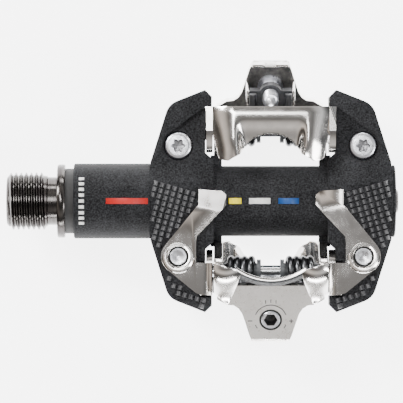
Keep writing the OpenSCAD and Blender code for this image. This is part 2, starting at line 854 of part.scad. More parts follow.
tension_nut(true);  // tension_nut_b
tension_screw(false);  // tension_screw_a
tension_screw(true);  // tension_screw_b
frame_bolts(false);  // frame_bolts_a
frame_bolts(true);  // frame_bolts_b
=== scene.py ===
import math

import bmesh
import bpy
from mathutils import Matrix, Vector


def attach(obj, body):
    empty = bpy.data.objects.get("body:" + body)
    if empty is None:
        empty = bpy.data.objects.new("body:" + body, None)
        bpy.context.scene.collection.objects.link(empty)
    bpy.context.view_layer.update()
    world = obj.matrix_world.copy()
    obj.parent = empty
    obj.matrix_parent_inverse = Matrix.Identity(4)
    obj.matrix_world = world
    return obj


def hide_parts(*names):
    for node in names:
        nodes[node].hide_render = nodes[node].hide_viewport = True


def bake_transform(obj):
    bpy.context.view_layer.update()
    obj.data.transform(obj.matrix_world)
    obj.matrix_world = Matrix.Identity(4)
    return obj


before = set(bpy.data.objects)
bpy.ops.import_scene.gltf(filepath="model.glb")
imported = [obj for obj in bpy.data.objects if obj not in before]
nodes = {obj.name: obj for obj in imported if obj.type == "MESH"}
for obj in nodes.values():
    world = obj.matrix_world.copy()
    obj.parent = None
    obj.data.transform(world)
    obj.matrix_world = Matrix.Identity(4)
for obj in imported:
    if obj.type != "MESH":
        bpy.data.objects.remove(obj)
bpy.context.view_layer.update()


# ------------------------------------------------------------------ spindle
# The spindle is turned from chromoly steel and blued dark, with a rolled crank
# thread of eight full turns, a flange that seats on the crank, and a hexagon
# socket broached into its threaded end.

MM = 0.001
thread_r = 7.14
pitch = 1.27
turns = 8
root_r = thread_r - 0.61 * pitch
neck = 2.4             # plain neck between the thread and the crank face
thread_end = -neck - turns * pitch
rim_steps = 96
thread_steps = 64      # for each turn of the thread


def lathe(profile, steps=rim_steps):
    """A bmesh of a profile, points of (radius, height), turned about the Z axis."""
    bm = bmesh.new()
    line = [bm.verts.new((r, 0, z)) for r, z in profile]
    edges = [bm.edges.new(pair) for pair in zip(line, line[1:])]
    bmesh.ops.spin(bm, geom=line + edges, cent=(0, 0, 0), axis=(0, 0, 1), angle=math.tau,
                   steps=steps, use_merge=True, use_duplicate=False)
    bmesh.ops.remove_doubles(bm, verts=bm.verts, dist=1e-4)
    bmesh.ops.recalc_face_normals(bm, faces=bm.faces)
    return bm


def sink(bm, outline, depth):
    """Sinks a punched socket into the open rim: outline gives its radius at an angle. Its walls and floor
    take the second material, painted darker for the shade inside the socket.
    """
    rim = [e for e in bm.edges if e.is_boundary]
    for share, drop in ((1.0, 0), (0.86, depth), (0.02, 0.12 * depth)):
        wall = bmesh.ops.extrude_edge_only(bm, edges=rim)["geom"]
        for f in wall:
            # The walls and floor of the socket take the second material, painted darker for the shade in the
            # recess
            if isinstance(f, bmesh.types.BMFace) and drop:
                f.material_index = 1
        rim = [e for e in bm.edges if e.is_boundary]
        for v in {v for e in rim for v in e.verts}:
            angle = math.atan2(v.co.y, v.co.x)
            v.co.x = share * outline(angle) * math.cos(angle)
            v.co.y = share * outline(angle) * math.sin(angle)
            v.co.z -= drop
    bmesh.ops.edgeloop_fill(bm, edges=rim)
    bmesh.ops.recalc_face_normals(bm, faces=bm.faces)


def hexagon(across_flats):
    """The outline of a hexagon socket, as its radius at an angle."""
    return lambda angle: across_flats / 2 / math.cos(angle % (math.pi / 3) - math.pi / 6)


def soften(bm, width, sharp=30, segments=2):
    """Rounds every edge that turns by more than a few degrees."""
    edges = [e for e in bm.edges if len(e.link_faces) == 2 and e.calc_face_angle(0) > math.radians(sharp)]
    bmesh.ops.bevel(bm, geom=edges, offset=width, offset_type="OFFSET", affect="EDGES",
                    segments=segments, profile=0.5, clamp_overlap=True, material=-1)


def piece(name, bm, material, body, stands_for=(), smooth=32):
    """Finishes a bmesh in millimetres as an object of the frame that rides on a body."""
    bmesh.ops.scale(bm, verts=bm.verts, vec=(MM, MM, MM))
    mesh = bpy.data.meshes.new(name)
    bm.to_mesh(mesh)
    bm.free()
    for one in material if isinstance(material, tuple) else (material,):
        mesh.materials.append(one)
    mesh.shade_smooth()
    mesh.set_sharp_from_angle(angle=math.radians(smooth))
    obj = bpy.data.objects.new(name, mesh)
    bpy.context.collection.objects.link(obj)
    if body:
        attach(obj, body)
    if stands_for:
        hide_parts(*stands_for)
    return obj


def grain_group():
    """Shader group: two colours and two roughnesses mixed by a fine noise, with its height."""
    group = bpy.data.node_groups.new("fine_grain", "ShaderNodeTree")
    for name, kind in (("Colour", "NodeSocketColor"), ("Second Colour", "NodeSocketColor"),
                       ("Grain", "NodeSocketFloat"), ("Stretch", "NodeSocketVector"),
                       ("Smooth", "NodeSocketFloat"), ("Rough", "NodeSocketFloat")):
        group.interface.new_socket(name, in_out="INPUT", socket_type=kind)
    for name, kind in (("Colour", "NodeSocketColor"), ("Roughness", "NodeSocketFloat"),
                       ("Height", "NodeSocketFloat")):
        group.interface.new_socket(name, in_out="OUTPUT", socket_type=kind)
    ends = group.nodes.new("NodeGroupInput"), group.nodes.new("NodeGroupOutput")
    place = group.nodes.new("ShaderNodeTexCoord")
    stretch = group.nodes.new("ShaderNodeMapping")
    fine = group.nodes.new("ShaderNodeTexNoise")
    fine.inputs["Detail"].default_value = 4.0
    patches = group.nodes.new("ShaderNodeTexNoise")
    patches.inputs["Scale"].default_value = 160.0
    both = group.nodes.new("ShaderNodeMath")
    both.operation = "MULTIPLY_ADD"
    both.inputs[1].default_value = 0.25
    steep = group.nodes.new("ShaderNodeMapRange")
    steep.inputs["From Min"].default_value = 0.45
    steep.inputs["From Max"].default_value = 0.85
    colour = group.nodes.new("ShaderNodeMix")
    colour.data_type = "RGBA"
    rough = group.nodes.new("ShaderNodeMix")
    link = group.links.new
    link(place.outputs["Object"], stretch.inputs["Vector"])
    link(ends[0].outputs["Stretch"], stretch.inputs["Scale"])
    link(stretch.outputs["Vector"], fine.inputs["Vector"])
    link(ends[0].outputs["Grain"], fine.inputs["Scale"])
    link(place.outputs["Object"], patches.inputs["Vector"])
    link(patches.outputs["Fac"], both.inputs[0])
    link(fine.outputs["Fac"], both.inputs[2])
    link(both.outputs["Value"], steep.inputs["Value"])
    link(steep.outputs["Result"], colour.inputs["Factor"])
    link(ends[0].outputs["Colour"], colour.inputs["A"])
    link(ends[0].outputs["Second Colour"], colour.inputs["B"])
    link(steep.outputs["Result"], rough.inputs["Factor"])
    link(ends[0].outputs["Smooth"], rough.inputs["A"])
    link(ends[0].outputs["Rough"], rough.inputs["B"])
    link(colour.outputs["Result"], ends[1].inputs["Colour"])
    link(rough.outputs["Result"], ends[1].inputs["Roughness"])
    link(fine.outputs["Fac"], ends[1].inputs["Height"])
    return group


fine_grain = grain_group()


def finish(name, colour, second, grain, smooth, rough, bump, metallic=0.0, stretch=(1, 1, 1)):
    """A material with its own values in the fine grain group."""
    material = bpy.data.materials.new(name)
    material.use_nodes = True
    tree = material.node_tree
    shader = tree.nodes["Principled BSDF"]
    texture = tree.nodes.new("ShaderNodeGroup")
    texture.node_tree = fine_grain
    texture.inputs["Colour"].default_value = (*colour, 1)
    texture.inputs["Second Colour"].default_value = (*second, 1)
    texture.inputs["Grain"].default_value = grain
    texture.inputs["Stretch"].default_value = stretch
    texture.inputs["Smooth"].default_value = smooth
    texture.inputs["Rough"].default_value = rough
    relief = tree.nodes.new("ShaderNodeBump")
    relief.inputs["Strength"].default_value = 1.0
    relief.inputs["Distance"].default_value = bump * MM
    shader.inputs["Metallic"].default_value = metallic
    tree.links.new(texture.outputs["Colour"], shader.inputs["Base Color"])
    tree.links.new(texture.outputs["Roughness"], shader.inputs["Roughness"])
    tree.links.new(texture.outputs["Height"], relief.inputs["Height"])
    tree.links.new(relief.outputs["Normal"], shader.inputs["Normal"])
    return material


blued_steel = finish("blued_steel", (0.10, 0.095, 0.09), (0.05, 0.045, 0.045), 900, 0.16, 0.30, 0.002,
                     metallic=1.0, stretch=(1, 0.2, 0.2))
# Painted shade: near-black for the walls of sockets and the gap by the bolts' ends; it is also the ink of the
# scale stamped on the tail plates
shade_and_mark_black = finish("shade_and_mark_black", (0.07, 0.07, 0.07), (0.03, 0.03, 0.03), 900, 0.35, 0.55, 0.004,
                      metallic=0.8)

onto_spindle = Matrix.Rotation(math.pi / 2, 4, "Y")

bm = lathe([
    (root_r - 1.1, thread_end), (root_r - 0.5, thread_end), (root_r - 0.03, thread_end + 0.5),
    (root_r - 0.03, -neck - 0.2), (thread_r - 1.15, -neck + 0.1), (thread_r - 1.15, -0.05),
    (8.75, 0), (8.98, 0.08), (9.15, 0.4), (9.15, 1.55), (9.0, 1.9), (6.6, 1.9),
    (6.6, 6.3), (5.15, 6.3), (5.15, 19.4), (4.6, 21.6), (4.6, 66.2),
    (4.05, 66.8), (4.05, 69.3), (3.0, 69.3), (3.0, 84.4), (2.5, 84.8), (0, 84.8),
])
# The socket's walls are painted near-black for the shade inside it
sink(bm, hexagon(8), -9)
bmesh.ops.transform(bm, matrix=onto_spindle, verts=bm.verts)
piece("spindle_shaft", bm, (blued_steel, shade_and_mark_black), "spindle", ["spindle"])

tooth = [(root_r, 0), (root_r, 0.10), (thread_r, 0.55), (thread_r, 0.72), (root_r, 1.17), (root_r, pitch)]
bm = bmesh.new()
line = [bm.verts.new((r, 0, thread_end + z)) for r, z in tooth]
edges = [bm.edges.new(pair) for pair in zip(line, line[1:])]
bmesh.ops.spin(bm, geom=line + edges, cent=(0, 0, 0), axis=(0, 0, 1), dvec=(0, 0, pitch / thread_steps),
               angle=math.tau * (turns - 1), steps=thread_steps * (turns - 1), use_duplicate=False)
bmesh.ops.remove_doubles(bm, verts=bm.verts, dist=1e-4)
for v in bm.verts:
    run_in = min(1, max(0, (v.co.z - thread_end) / 1.1), max(0, (-neck - v.co.z) / 0.9))
    radius = v.co.xy.length
    v.co.xy *= (root_r - 0.04 + (radius - root_r + 0.04) * run_in) / radius
bmesh.ops.recalc_face_normals(bm, faces=bm.faces)
bmesh.ops.transform(bm, matrix=onto_spindle, verts=bm.verts)
piece("crank_thread", bm, blued_steel, "spindle", smooth=25)


# ------------------------------------------------------------------ bearings
# A needle bearing runs on the spindle by the crank, and two small ball bearings
# sit at its outboard end, held by a lock nut. They are ground steel, with moulded
# cages, and can be seen only with the pedal apart.

ground_steel = finish("ground_steel", (0.72, 0.73, 0.75), (0.60, 0.61, 0.63), 700, 0.18, 0.30, 0.002,
                      metallic=1.0, stretch=(0.3, 1, 1))
plain_steel = finish("plain_steel", (0.45, 0.46, 0.48), (0.33, 0.34, 0.35), 500, 0.30, 0.45, 0.004,
                     metallic=1.0)
moulded_cage = finish("moulded_cage", (0.45, 0.36, 0.22), (0.38, 0.30, 0.18), 900, 0.45, 0.60, 0.006)


def coat(name, material):
    """Gives a carried-over node its finish."""
    nodes[name].data.materials.clear()
    nodes[name].data.materials.append(material)


for name in nodes:
    if "bearing" in name or "needle" in name or name.startswith("lock_"):
        cage = name.endswith("cage")
        plain = name.endswith(("shields", "spacer", "washer", "nut", "circlip"))
        coat(name, moulded_cage if cage else plain_steel if plain else ground_steel)


# ------------------------------------------------------------------ body
# The body is one moulding of glass-filled nylon, black with a fine grain: a
# sleeve, a barrel and two wings. Its edges are slightly rounded, so they catch
# the light.

composite = finish("glass_filled_nylon", (0.004, 0.004, 0.0045), (0.038, 0.039, 0.042), 2600, 0.50, 0.70,
                   0.05)
composite.node_tree.nodes["Principled BSDF"].inputs["Specular IOR Level"].default_value = 0.08


def from_design(name):
    """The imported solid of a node, in millimetres, with its triangles joined into flat faces."""
    bm = bmesh.new()
    bm.from_mesh(nodes[name].data)
    bmesh.ops.scale(bm, verts=bm.verts, vec=(1 / MM, 1 / MM, 1 / MM))
    bmesh.ops.remove_doubles(bm, verts=bm.verts, dist=0.002)
    bmesh.ops.dissolve_limit(bm, angle_limit=math.radians(1.5), verts=bm.verts, edges=bm.edges)
    return bm


bm = from_design("body")
soften(bm, 0.28)
piece("body_shell", bm, composite, "pedal_body", ["body"])


# ------------------------------------------------------------------ treads
# Each wing has a tread moulded into one half of each side: rows of small
# blocks with their tops cut to a ridge, which slope down towards the claws.
# They give the sole of the shoe its grip.

# Painted highlight: the blocks are the body's own black moulding, coloured lighter than it so they show as
# the light slivers of their lit flanks
tread_painted_highlight = finish("tread_painted_highlight", (0.022, 0.022, 0.024), (0.10, 0.10, 0.105), 2600, 0.30, 0.42, 0.03)
tread_painted_highlight.node_tree.nodes["Principled BSDF"].inputs["Specular IOR Level"].default_value = 0.55
middle = 53.0          # from the crank face to the middle of the pedal
crown = 2.9            # the tread is level this far from the axis
tread_height = 8.7
slope = math.radians(5.5)
tread_fall = math.tan(slope)
front_edge = 4.8       # past this line the tread drops away
front_fall = 0.75
row_slope = math.radians(-16)
stud_gap = 1.60
row_gap = 1.45
most_rows = 24         # to either side of the middle of the tread
tread_middle = (-22.0, -8.0)
stud_foot = (1.40, 1.25, -0.2)    # length, width and height above the tread
stud_ridge = (0.42, 1.00, 0.62)
stud_lean = 0.18
tread_outline = [
    (-29.5, 5.9), (-19.0, 2.9), (-18.9, -1.6), (-26.9, -10.4), (-27.9, -14.2), (-26.7, -17.0),
    (-20.4, -22.8), (-17.6, -24.3), (-15.3, -24.4), (-15.5, -25.6), (-16.2, -26.4), (-23.2, -23.6),
    (-25.3, -21.1), (-28.9, -9.6), (-29.5, -5.6),
]


def inside(x, y, outline):
    """Whether a point lies inside a closed outline."""
    crossings = 0
    for (ax, ay), (bx, by) in zip(outline, outline[1:] + outline[:1]):
        if (ay > y) != (by > y) and x < ax + (bx - ax) * (y - ay) / (by - ay):
            crossings += 1
    return crossings % 2 == 1


def turn_over(bm, side):
    """Side B is side A turned half a turn about the spindle."""
    if side == "b":
        bmesh.ops.rotate(bm, cent=(0, 0, 0), matrix=Matrix.Rotation(math.pi, 3, "X"), verts=bm.verts)
    bmesh.ops.translate(bm, verts=bm.verts, vec=(middle, 0, 0))


def whole(bm):
    return bm.verts[:] + bm.edges[:] + bm.faces[:]


def mirrored(bm):
    """Adds the mirror image across the pedal's middle plane."""
    bmesh.ops.mirror(bm, geom=whole(bm), matrix=Matrix(), merge_dist=0.0001, axis="X")
    bmesh.ops.recalc_face_normals(bm, faces=bm.faces)


for side in "ab":
    bm = bmesh.new()
    for row in range(-most_rows, most_rows + 1):
        for column in range(-most_rows, most_rows + 1):
            along, across = column * stud_gap, row * row_gap
            x = tread_middle[0] + along * math.cos(row_slope) - across * math.sin(row_slope)
            y = tread_middle[1] + along * math.sin(row_slope) + across * math.cos(row_slope)
            if not inside(x, y, tread_outline):
                continue
            z = tread_height - max(0, -y - crown) * tread_fall - max(0, y - front_edge) * front_fall
            stud = bmesh.ops.create_cube(bm, size=1.0)["verts"]
            for v in stud:
                top = v.co.z > 0
                length, width, rise = stud_ridge if top else stud_foot
                v.co.x = v.co.x * length + (stud_lean if top else 0)
                v.co.y *= width
                v.co.z = z + rise
            bmesh.ops.rotate(bm, verts=stud, cent=(0, 0, 0), matrix=Matrix.Rotation(row_slope, 3, "Z"))
            bmesh.ops.translate(bm, verts=stud, vec=(x, y, 0))
    mirrored(bm)
    turn_over(bm, side)
    # The treads, coloured lighter for their painted highlight
    piece(f"treads_{side}", bm, tread_painted_highlight, "pedal_body", smooth=20)


# ------------------------------------------------------------------ stripes
# The barrel carries printed dashes in yellow, white and blue, and the sleeve a
# red one and a row of small white ticks. They are pad printed, so they are
# hardly thicker than the paint.

sleeve_r = 9.35
barrel_r = 8.75
ink_height = 0.02
dash_width = 1.45
tick_width = 0.8


def printed(name, patches, width, ink):
    """Printed patches on cylinders about the X axis, each at its own angle from the top."""
    bm = bmesh.new()
    for x0, x1, radius, angle in patches:
        half = width / 2 / (radius + ink_height)
        ends = [bm.verts.new((x, 0, radius + ink_height)) for x in (x0, x1)]
        edge = bm.edges.new(ends)
        bmesh.ops.rotate(bm, cent=(0, 0, 0), verts=ends, matrix=Matrix.Rotation(half + angle, 3, "X"))
        bmesh.ops.spin(bm, geom=ends + [edge], cent=(0, 0, 0), axis=(1, 0, 0), angle=-2 * half,
                       steps=10, use_duplicate=False)
    bmesh.ops.recalc_face_normals(bm, faces=bm.faces)
    skin = piece(name, bm, ink, "pedal_body").modifiers.new("ink", "SOLIDIFY")
    skin.thickness = ink_height * MM
    skin.offset = 0


for name, colour, x0, x1, radius in (
    ("red", (0.50, 0.010, 0.006), 12.2, 22.6, sleeve_r),
    ("yellow", (0.95, 0.78, 0.0), middle - 10.4, middle - 7.3, barrel_r),
    ("white", (0.88, 0.88, 0.86), middle - 5.4, middle - 0.15, barrel_r),
    ("blue", (0.003, 0.06, 0.24), middle + 1.8, middle + 6.9, barrel_r),
):
    ink = finish(f"{name}_ink", colour, tuple(0.85 * c for c in colour), 1800, 0.40, 0.55, 0.004)
    printed(f"{name}_dash", [(x0, x1, radius, 0.0)], dash_width, ink)

white_ink = finish("white_ink", (0.85, 0.85, 0.83), (0.70, 0.70, 0.69), 1800, 0.40, 0.55, 0.004)
ticks = [(5.5, 6.8, sleeve_r, math.radians(9 * n)) for n in range(-4, 5)]
printed("white_ticks", ticks, tick_width, white_ink)


# ------------------------------------------------------------------ end cap and seals
# A moulded cap with a hexagon recess screws into the outboard end, over a rubber
# ring. A lip seal keeps grit out at the crank end.

seal_rubber = finish("seal_rubber", (0.015, 0.015, 0.015), (0.03, 0.03, 0.03), 1500, 0.60, 0.75, 0.012)
for name in ("dust_seal", "end_cap_seal"):
    coat(name, seal_rubber)
bm = from_design("end_cap")
soften(bm, 0.2)
piece("cap", bm, composite, "pedal_body", ["end_cap"])


# ------------------------------------------------------------------ front claws
# Each front claw is one stamping of plated steel, 1.6 mm thick. Its arch holds
# the nose of the cleat on one side of the pedal; its cheeks run down past the
# barrel and bend out into two arms, bolted down on the other side.

plated_steel = finish("plated_steel", (0.80, 0.78, 0.755), (0.72, 0.70, 0.68), 420, 0.11, 0.20, 0.003,
                      metallic=1.0)
claw_top = 13.5        # height of the claws above the spindle axis
sheet = 1.6
cheek_drop = 1.75      # the cheeks begin this far below the claw's top, under the arch
arch_back = 23.3
nose_y = 8.45
nose_r = 8.15
horn_y = 11.55         # the nose's curve begins here
bolt = (22.9, 13.7)
boss_lift = 0.9        # the top of each arm above the tread
boss_z = tread_height + boss_lift - (bolt[1] - crown) * tread_fall


def arc(cx, cy, radius, start, end, count):
    """Points of an arc, with its angles in degrees."""
    angles = [math.radians(start + (end - start) * n / count) for n in range(count + 1)]
    return [(cx + radius * math.cos(a), cy + radius * math.sin(a)) for a in angles]


def sheet_of(outline, step, height, hole=0.0):
    """A sheet over an outline, cut into a grid and raised to a height at each point."""
    bm = bmesh.new()
    corners = [bm.verts.new((x, y, 0)) for x, y in outline]
    edges = [bm.edges.new(pair) for pair in zip(corners, corners[1:] + corners[:1])]
    if hole:
        bmesh.ops.create_circle(bm, segments=48, radius=hole)
        edges = bm.edges[:]
    bmesh.ops.triangle_fill(bm, edges=edges, use_beauty=True, use_dissolve=True)
    for axis in (0, 1):
        low = min(p[axis] for p in outline)
        high = max(p[axis] for p in outline)
        normal = (1, 0, 0) if axis == 0 else (0, 1, 0)
        for n in range(1, int((high - low) / step) + 1):
            at = [0, 0, 0]
            at[axis] = low + n * step
            bmesh.ops.bisect_plane(bm, geom=whole(bm), dist=1e-4, plane_co=at, plane_no=normal)
    bmesh.ops.remove_doubles(bm, verts=bm.verts, dist=0.02)
    bmesh.ops.triangulate(bm, faces=[f for f in bm.faces if len(f.verts) > 4])
    for v in bm.verts:
        v.co.z = height(v.co.x, v.co.y)
    bmesh.ops.recalc_face_normals(bm, faces=bm.faces)
    if sum(f.normal.z for f in bm.faces) < 0:
        bmesh.ops.reverse_faces(bm, faces=bm.faces)
    return bm


def ramp(value, low, high):
    """Rises smoothly from 0 at low to 1 at high."""
    t = min(1, max(0, (value - low) / (high - low)))
    return t * t * (3 - 2 * t)


def arch_height(x, y):
    """The arch is level at the back, with a channel that rolls down to the nose."""
    x = abs(x)
    channel = 1 - ramp(x, 5.9 + 0.10 * (y - 10), 8.4 + 0.08 * (y - 10))
    roll = 1 - ramp(y, 11.0, 21.2)
    lobe = 0.10 * (x - 8.9) ** 2 * ramp(x, 8.9, 9.8) * (0.55 + 0.45 * (1 - ramp(y, 11, 23)))
    tips = 0.9 * (1 - ramp(y, 8.5, 15.5)) * ramp(x, 7.5, 9.5)
    return claw_top - 0.10 - 3.6 * channel * roll - min(lobe, 2.6) - tips - 0.25 * ramp(y, 21.8, 23.6)


def thicken(obj, thickness, rounding):
    """Gives a sheet its thickness inwards and rounds its cut edges."""
    skin = obj.modifiers.new("sheet", "SOLIDIFY")
    skin.thickness = thickness * MM
    skin.offset = -1
    skin.use_even_offset = True
    edge = obj.modifiers.new("edge", "BEVEL")
    edge.width = rounding * MM
    edge.segments = 3
    edge.limit_method = "ANGLE"
    edge.angle_limit = math.radians(50)


arch_half = [
    (16.1, arch_back), (16.1, 22.2), (13.0, 10.7), (12.5, 10.2), (10.6, 9.9), (9.6, 10.5), (7.65, horn_y),
]
nose_start = math.degrees(math.asin((horn_y - nose_y) / nose_r)) + 2
arch_half += arc(0, nose_y, nose_r, nose_start, 90, 14)
arch_outline = arch_half + [(-x, y) for x, y in reversed(arch_half[:-1])]

for side in "ab":
    bm = sheet_of(arch_outline, 0.5, arch_height)
    turn_over(bm, side)
    thicken(piece(f"arch_{side}", bm, plated_steel, "pedal_body", smooth=50), sheet, 0.25)

    bm = from_design(f"front_claw_{side}")
    up = -1 if side == "b" else 1
    bmesh.ops.bisect_plane(bm, geom=whole(bm), dist=1e-3, plane_co=(0, 0, up * (claw_top - cheek_drop)),
                           plane_no=(0, 0, up), clear_outer=True)
    bmesh.ops.holes_fill(bm, edges=[e for e in bm.edges if e.is_boundary], sides=0)
    soften(bm, 0.22)
    piece(f"cheeks_{side}", bm, plated_steel, "pedal_body", [f"front_claw_{side}"], smooth=15)

    # The boss that each arm is drawn up into round its bolt
    bm = lathe([(2.5, -0.4), (2.5, 0.5), (2.62, 0.72), (2.95, 0.74), (3.2, 0.55), (3.4, 0.2), (3.9, 0.04),
                (4.2, -0.3)], 64)
    bmesh.ops.rotate(bm, cent=(0, 0, 0), matrix=Matrix.Rotation(-slope, 3, "X"), verts=bm.verts)
    bmesh.ops.translate(bm, verts=bm.verts, vec=(bolt[0], -bolt[1], boss_z))
    mirrored(bm)
    turn_over(bm, side)
    piece(f"arm_bosses_{side}", bm, plated_steel, "pedal_body")


# ------------------------------------------------------------------ claw pins
# A ground steel pin carries each rear claw. A moulded sleeve on it, with a
# flange at its inner end, keeps each torsion spring central.

sleeve_nylon = finish("sleeve_nylon", (0.06, 0.065, 0.07), (0.10, 0.105, 0.11), 1500, 0.40, 0.55, 0.010)
for side in "ab":
    coat(f"claw_pin_{side}", ground_steel)
    coat(f"spring_sleeves_{side}", sleeve_nylon)


# ------------------------------------------------------------------ rear claws
# Each rear claw is cast steel, plated and polished on its outside. The wall behind
# its lip has a rough grain and is painted dark for the shade between lip and plate.
# Two domed lobes push the cleat's tail down, a lip between them holds it, and the
# tail plate behind carries the tension screw.

# Painted shade: the wall's rough grain is its own, its dark colour stands for the shade between the lip and
# the plate
wall_shade_skin = finish("wall_shade_skin", (0.11, 0.115, 0.12), (0.045, 0.045, 0.045), 2200, 0.55, 0.80, 0.10,
                   metallic=0.5)
satin_plate = finish("satin_plate", (0.95, 0.93, 0.90), (0.86, 0.84, 0.81), 1100, 0.26, 0.40, 0.012,
                     metallic=1.0)
cast_inside = finish("cast_inside", (0.16, 0.155, 0.15), (0.07, 0.07, 0.07), 900, 0.35, 0.60, 0.03,
                     metallic=0.9)
pin_y = 17.4
pin_z = 2.0
ear_x = 11.9           # inner face of each ear
ear_thick = 2.15
lip_centre = 4.6       # the lip and the wall are turned about a line this far towards the tail
screw_hole = 2.43
stamp_r = 3.9
stamp_width = 0.22
stamp_lift = 0.03
tail_tilt = math.radians(23)
screw_y = 29.5
screw_z = 4.5
tail_frame = Matrix.Translation((0, -screw_y, screw_z)) @ Matrix.Rotation(tail_tilt, 4, "X")


def lobe_height(x, y):
    """A lobe is level by the cleat and falls away, domed, towards its tip."""
    fall = ramp(-y, 16.4, 27.5)
    across = ((abs(x) - 11.2) / 3.6) ** 2
    return claw_top - 0.05 - 6.9 * fall - (0.9 + 0.6 * fall) * across


def tail_height(x, v):
    """The tail plate is flat and turns in at its end."""
    return -1.9 * ramp(-v, 5.2, 7.4) ** 2


def verts_of(geom):
    return [g for g in geom if isinstance(g, bmesh.types.BMVert)]


def cut_to_claw(bm, half):
    """Moves a turned ring to its centre and keeps the stretch of it that spans the claw."""
    bmesh.ops.translate(bm, verts=bm.verts, vec=(0, -lip_centre, 0))
    for at, away in (((half, 0, 0), (1, 0, 0)), ((-half, 0, 0), (-1, 0, 0)), ((0, 0, 0), (0, 1, 0))):
        bmesh.ops.bisect_plane(bm, geom=whole(bm), dist=1e-4, plane_co=at, plane_no=away, clear_outer=True)
    bmesh.ops.holes_fill(bm, edges=[e for e in bm.edges if e.is_boundary], sides=0)


lobe_outline = [
    (14.1, -15.3), (11.0, -16.2), (7.6, -17.2), (7.7, -18.6), (8.5, -21.0), (9.5, -23.3), (10.4, -25.3),
    (10.8, -25.6), (11.3, -25.4), (12.6, -24.2), (14.1, -22.7),
]
tail_half = [
    (13.3, 9.3), (13.3, 5.6), (10.9, 4.1), (9.2, 3.9), (8.0, 3.1), (7.1, 1.7), (6.3, -0.8), (5.3, -4.2),
    (4.6, -6.0), (4.0, -6.35),
]
tail_outline = tail_half + [(-x, v) for x, v in reversed(tail_half)]
ear_outline = [
    (-15.3, 12.6), (-17.6, 12.6), (-22.4, 9.0), (-22.9, 7.0), (-21.3, 4.0),
    *arc(-pin_y, pin_z, 3.7, 190, 280, 8), (-12.75, 1.0), (-10.25, 1.0), (-10.25, 4.6), (-11.0, 5.4),
    (-13.7, 8.2), (-14.1, 11.8),
]

for side in "ab":
    body = f"rear_claw_{side}"
    bm = sheet_of(lobe_outline, 0.5, lobe_height)
    mirrored(bm)
    for f in bm.faces:
        if f.normal.z < 0:
            f.normal_flip()
    turn_over(bm, side)
    thicken(piece(f"lobes_{side}", bm, plated_steel, body, smooth=50), 1.5, 0.2)

    bm = sheet_of(tail_outline, 0.7, tail_height, hole=screw_hole)
    bmesh.ops.transform(bm, matrix=tail_frame, verts=bm.verts)
    turn_over(bm, side)
    tail = piece(f"tail_plate_{side}", bm, (satin_plate, cast_inside), body, [f"rear_claw_{side}"], smooth=50)
    thicken(tail, 2.0, 0.25)
    tail.modifiers["sheet"].material_offset = 1

    # Ribs and a bar inside the plate, then the scale stamped on its outside
    bm = bmesh.new()
    for x, y, z, dx, dy, dz in ((5.7, 1.5, -5.5, 0.8, 6.2, 7.1), (3.0, -5.9, -2.6, 3.2, 0.9, 1.8)):
        rib = bmesh.ops.create_cube(bm, size=1.0)["verts"]
        bmesh.ops.scale(bm, verts=rib, vec=(dx, dy, dz))
        bmesh.ops.translate(bm, verts=rib, vec=(x, y, z))
    soften(bm, 0.25)
    mirrored(bm)
    bmesh.ops.transform(bm, matrix=tail_frame, verts=bm.verts)
    turn_over(bm, side)
    piece(f"tail_ribs_{side}", bm, plated_steel, body)

    bm = bmesh.new()
    for start, end in ((20, 160), (200, 215), (325, 340)):
        first = math.radians(start)
        line = [bm.verts.new((r * math.cos(first), r * math.sin(first), stamp_lift))
                for r in (stamp_r, stamp_r + stamp_width)]
        bmesh.ops.spin(bm, geom=line + [bm.edges.new(line)], cent=(0, 0, 0), axis=(0, 0, 1),
                       angle=math.radians(end - start), steps=24, use_duplicate=False)
    for x, y, dx, dy in ((-5.1, -0.3, 1.1, 0.24), (5.1, -0.3, 1.1, 0.24), (5.1, -0.3, 0.24, 1.1),
                         (-1.3, 4.9, 0.2, 0.9), (0, 5.1, 0.2, 0.9), (1.3, 4.9, 0.2, 0.9)):
        mark = bmesh.ops.create_grid(bm, x_segments=1, y_segments=1, size=0.5)["verts"]
        bmesh.ops.scale(bm, verts=mark, vec=(dx, dy, 1))
        bmesh.ops.translate(bm, verts=mark, vec=(x, y, stamp_lift))
    bmesh.ops.recalc_face_normals(bm, faces=bm.faces)
    bmesh.ops.transform(bm, matrix=tail_frame, verts=bm.verts)
    turn_over(bm, side)
    marks = piece(f"tail_marks_{side}", bm, shade_and_mark_black, body)
    marks.modifiers.new("depth", "SOLIDIFY").thickness = stamp_lift * MM

    bm = bmesh.new()
    face = bm.faces.new([bm.verts.new((ear_x, y, z)) for y, z in ear_outline])
    grown = bmesh.ops.extrude_face_region(bm, geom=[face])["geom"]
    bmesh.ops.translate(bm, verts=verts_of(grown), vec=(ear_thick, 0, 0))
    bmesh.ops.recalc_face_normals(bm, faces=bm.faces)
    soften(bm, 0.3)
    mirrored(bm)
    turn_over(bm, side)
    piece(f"ears_{side}", bm, plated_steel, body)

    bm = lathe([(14.4, 11.7), (14.4, 13.0), (14.55, 13.3), (14.85, 13.35), (15.1, 13.0), (15.15, 11.7),
                (14.4, 11.7)], 240)
    cut_to_claw(bm, 8.4)
    turn_over(bm, side)
    piece(f"lip_{side}", bm, plated_steel, body)

    # The wall, painted dark for the shade between lip and plate
    bm = lathe([(15.1, 6.6), (15.0, 12.0), (15.6, 12.1), (16.2, 11.2), (16.6, 6.2), (15.1, 6.6)], 240)
    cut_to_claw(bm, 8.6)
    turn_over(bm, side)
    piece(f"wall_{side}", bm, wall_shade_skin, body)


# ------------------------------------------------------------------ springs
# Two torsion springs of oiled spring wire turn each rear claw shut. One leg of
# each stands in a seat in the opposite arch, and the other presses on the
# tension nut, so the coil winds up as the claw opens.

